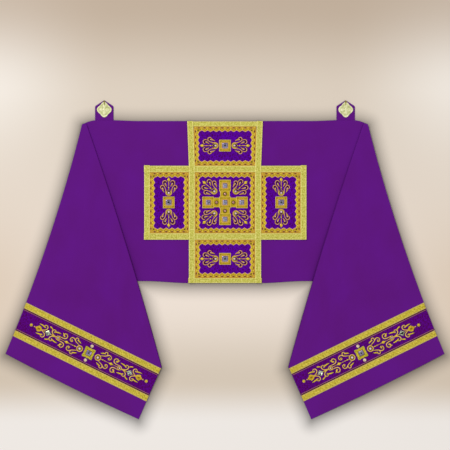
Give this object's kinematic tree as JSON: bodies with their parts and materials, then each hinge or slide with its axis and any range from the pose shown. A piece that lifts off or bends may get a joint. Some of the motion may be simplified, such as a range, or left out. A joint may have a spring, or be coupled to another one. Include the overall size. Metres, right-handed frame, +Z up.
{
  "type": "humeral veil",
  "caption": "Purple liturgical shoulder veil laid flat with both ends folded forward, a panelled cross in gold galloon, embroidered end bands and clasp tabs.",
  "frame": {"origin": "middle of the laid-out outline, on the surface the cloth lies on", "axes": "+X along the veil towards the end on the viewer's right, +Y towards the upper edge with the tabs, +Z up from the surface"},
  "size_m": [1.536, 1.116, 0.0072],
  "materials": {
    "purple_cloth": "smooth lined cloth with a soft sheen",
    "panel_ground": "saturated purple ground under dense gold embroidery",
    "band_ground": "reddish purple ground under gold embroidery",
    "gold_galloon": "woven metallic gold braid",
    "clasp_metal": "polished pale gold plate",
    "stone_glass": "faceted foil-backed glass, silver blue with a dark heart"
  },
  "bodies": {
    "root": {"veil": "purple_cloth", "tab_left": "purple_cloth", "tab_right": "purple_cloth", "clasp_left": "clasp_metal", "clasp_right": "clasp_metal", "panel_middle": "panel_ground", "panel_top": "panel_ground", "panel_bottom": "panel_ground", "panel_left": "panel_ground", "panel_right": "panel_ground", "band_left": "band_ground", "band_right": "band_ground", "galloon_level_top": "gold_galloon", "galloon_level_upper": "gold_galloon", "galloon_level_lower": "gold_galloon", "galloon_level_bottom": "gold_galloon", "galloon_upright_left": "gold_galloon", "galloon_upright_right": "gold_galloon", "galloon_bar_end_left": "gold_galloon", "galloon_bar_end_right": "gold_galloon", "galloon_left_upper": "gold_galloon", "galloon_left_lower": "gold_galloon", "galloon_right_upper": "gold_galloon", "galloon_right_lower": "gold_galloon", "stone_centre": "stone_glass", "stone_north": "stone_glass", "stone_south": "stone_glass", "stone_west": "stone_glass", "stone_east": "stone_glass", "stone_top": "stone_glass", "stone_bottom": "stone_glass", "stone_left": "stone_glass", "stone_right": "stone_glass", "stone_band_left": "stone_glass", "stone_band_right": "stone_glass"}
  },
  "joints": []
}
